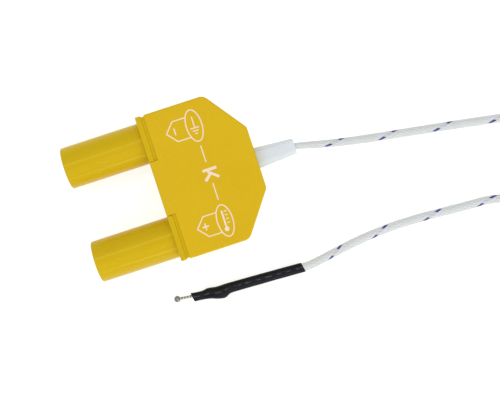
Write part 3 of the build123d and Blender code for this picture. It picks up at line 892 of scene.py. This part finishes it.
def strip_mesh(name, centre, across, outward, share=1.0):
    """A tie's band along a line of points, laid along the vectors across and outward of each."""
    shape = np.array(TIE_SECTION) * (share, 1.0)
    rings = centre[:, None] + shape[:, 0, None] * across[:, None] + shape[:, 1, None] * outward[:, None]
    # where it lies on the floor, the wire core is pressed in
    rings[..., 2] = np.maximum(rings[..., 2], cad_low.z / MM)
    return tube_mesh(name, rings * MM)


def make_tie():
    """A vinyl wire tie: a flat band round the coil, its two tails twisted together and laid on top."""
    low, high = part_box("coil_tie")
    low, high = low / MM, high / MM
    y = (low.y + high.y) / 2
    # each corner's middle in x and z, and the direction in degrees in which its quarter turn ends
    corners = [
        (low.x + TIE_CORNER, low.z + TIE_CORNER, 180),
        (low.x + TIE_CORNER, high.z - TIE_CORNER, 90),
        (high.x - TIE_CORNER, high.z - TIE_CORNER, 0),
        (high.x - TIE_CORNER, low.z + TIE_CORNER, -90),
    ]
    centre, outward = [], []
    for x, z, last in corners:
        for step in range(CORNER_STEPS + 1):
            angle = radians(last + 90 - 90 * step / CORNER_STEPS)
            outward.append((cos(angle), 0.0, sin(angle)))
            centre.append((x + TIE_CORNER * cos(angle), y, z + TIE_CORNER * sin(angle)))
    centre, outward = np.array(centre + centre[:1]), np.array(outward + outward[:1])
    across = np.tile((0.0, 1.0, 0.0), (len(centre), 1))
    band = piece("tie_band", strip_mesh("tie_band", centre, across, outward), "tie_vinyl", "coil_tie")

    top_x, top_z = (low.x + high.x) / 2, high.z
    route = [Vector((top_x + dx, y + dy, top_z + dz)) * MM for dx, dy, dz in TAIL_LINE]
    line = curve_line("tail_line", route, TAIL_RESOLUTION) / MM
    far = distances(line)
    side, up = frames_along(line)
    angle = (np.minimum(far, far[-1] - TAIL_OPEN) / TAIL_HALF_TURN * pi)[:, None]
    turned_side = np.cos(angle) * side + np.sin(angle) * up
    turned_up = np.cos(angle) * up - np.sin(angle) * side
    splay = smooth_step((far - far[-1] + TAIL_OPEN) / TAIL_OPEN)[:, None] * TAIL_SPLAY
    made = [band]
    for name, way in (("tie_tail_a", 1.0), ("tie_tail_b", -1.0)):
        centre = line + way * turned_up * (TIE_THICKNESS + splay)
        tail = strip_mesh(name, centre, turned_side * way, turned_up * way, TAIL_SHARE)
        made.append(piece(name, tail, "tie_vinyl"))
    return made


# Print on the plug, in millimetres: x from the printed face's front edge, y from the part's middle

INK_TOP = 0.012
INK_STEP = 0.00002
OVAL_X = 10.3
OVAL_HALF = (1.5, 3.1)
COMMON_Y = 9.44
TEMPERATURE_Y = -9.525
FINE_STROKE = 0.22
SIGN_STROKE = 0.26
# with y from a jack's middle line: an arrow outline that starts on the oval, and the bars of its sign
ARROW_START = OVAL_X - OVAL_HALF[0] * 0.78
ARROW = [(ARROW_START, 1.97), (6.5, 1.97), (4.8, 0.0), (6.5, -1.97), (ARROW_START, -1.97)]
MINUS = [[(6.45, -0.66), (6.45, 0.66)]]
PLUS = [*MINUS, [(5.8, 0.0), (6.32, 0.0)], [(6.58, 0.0), (7.1, 0.0)]]
# strokes and their widths from an oval's middle: a stem that ends in three bars, each shorter than the last
EARTH = [
    ([(0.0, 1.75), (0.0, -0.35)], 0.22),
    ([(-0.85, -0.45), (0.85, -0.45)], 0.22),
    ([(-0.56, -1.0), (0.56, -1.0)], 0.22),
    ([(-0.27, -1.55), (0.27, -1.55)], 0.22),
]
# the same for a thermometer and its scale, and the ring of ink that is its bulb
THERMOMETER = [
    ([(-0.12, -1.3), (-0.12, 2.0)], 0.34),
    ([(0.3, -0.5), (0.82, -0.5)], 0.2),
    ([(0.3, 0.25), (0.82, 0.25)], 0.2),
    ([(0.3, 1.0), (0.82, 1.0)], 0.2),
    ([(0.3, 1.75), (0.82, 1.75)], 0.2),
]
BULB = (-0.12, -1.6)
BULB_HALF = (0.24, 0.24)
BULB_STROKE = 0.44
# dashes on both sides of the type letter, as the y of their ends
DASHES = ((2.12, 5.42), (-5.4, -2.03))
# the letter from its middle: its foot is towards the pins, and it reads towards the temperature pin
LETTER_X = 10.5
LETTER = [
    ([(-1.375, 0.65), (1.375, 0.65)], 0.55),
    ([(-0.525, 0.32), (1.375, -1.22)], 0.5),
    ([(-0.025, -0.14), (-1.375, -1.3)], 0.55),
]


def stroke(plan, points, width, origin, closed=False):
    """A thin raised line of ink along points counted from an origin, a hair higher than the last line."""
    line = [Vector((origin[0] + x, origin[1] + y)) for x, y in points]
    count = len(line)
    left, right = [], []
    for index, point in enumerate(line):
        before = line[index - 1] if index or closed else None
        after = line[(index + 1) % count] if index < count - 1 or closed else None
        into = (point - before).normalized() if before is not None else (after - point).normalized()
        out = (after - point).normalized() if after is not None else into
        mean = (into + out).normalized()
        normal = Vector((-mean.y, mean.x)) * (width / 2 / max(mean.dot(out), 0.4))
        left.append(point + normal)
        right.append(point - normal)
    higher = len(plan.faces) * INK_STEP
    top, bottom = TOP_Z + (INK_TOP + higher) * MM, TOP_Z - INK_TOP * MM
    corners = {}
    for name, side, z in (("a", left, top), ("b", right, top), ("c", right, bottom), ("d", left, bottom)):
        corners[name] = [plan.verts.new((p.x * MM, p.y * MM, z)) for p in side]
    spans = range(count) if closed else range(count - 1)
    for index in spans:
        following = (index + 1) % count
        for first, second in ("ab", "bc", "cd", "da"):
            plan.faces.new(
                (corners[first][index], corners[second][index],
                 corners[second][following], corners[first][following])
            )
    if not closed:
        for index in (0, count - 1):
            plan.faces.new([corners[name][index] for name in "abcd"])


def oval(half, count):
    """Points round an oval, counted from its middle."""
    return [(half[0] * cos(2 * pi * k / count), half[1] * sin(2 * pi * k / count)) for k in range(count)]


def make_print():
    """Jack symbols in ovals, arrow outlines with a minus and a plus, dashes, and the type letter."""
    plan = bmesh.new()
    front = FRONT_X / MM
    for y, sign in ((COMMON_Y, MINUS), (TEMPERATURE_Y, PLUS)):
        stroke(plan, oval(OVAL_HALF, 40), FINE_STROKE, (front + OVAL_X, y), closed=True)
        stroke(plan, ARROW, FINE_STROKE, (front, y))
        for bar in sign:
            stroke(plan, bar, SIGN_STROKE, (front, y))
    x = front + OVAL_X
    for points, width in EARTH:
        stroke(plan, points, width, (x, COMMON_Y))
    bulb = (x + BULB[0], TEMPERATURE_Y + BULB[1])
    stroke(plan, oval(BULB_HALF, 16), BULB_STROKE, bulb, closed=True)
    for points, width in THERMOMETER:
        stroke(plan, points, width, (x, TEMPERATURE_Y))
    for dash in DASHES:
        stroke(plan, [(0.0, y) for y in dash], FINE_STROKE, (x, 0.0))
    for points, width in LETTER:
        stroke(plan, points, width, (front + LETTER_X, 0.0))
    bmesh.ops.recalc_face_normals(plan, faces=plan.faces)
    mesh = bpy.data.meshes.new("plug_print")
    plan.to_mesh(mesh)
    plan.free()
    placed("plug_print", mesh, print_ink())


# Everything together

set_stage()
cable, cable_line = make_cable()
sleeve = make_sleeve()
tip_wires = make_tip_wires()
bead = make_bead()
tie = make_tie()
make_print()

slots = {row["node"]: row["material_slot"] for row in frame["record"]["subparts"]}
for name, node in frame["nodes"].items():
    node.data.materials.clear()
    node.data.materials.append(LOOKS[slots[name]])
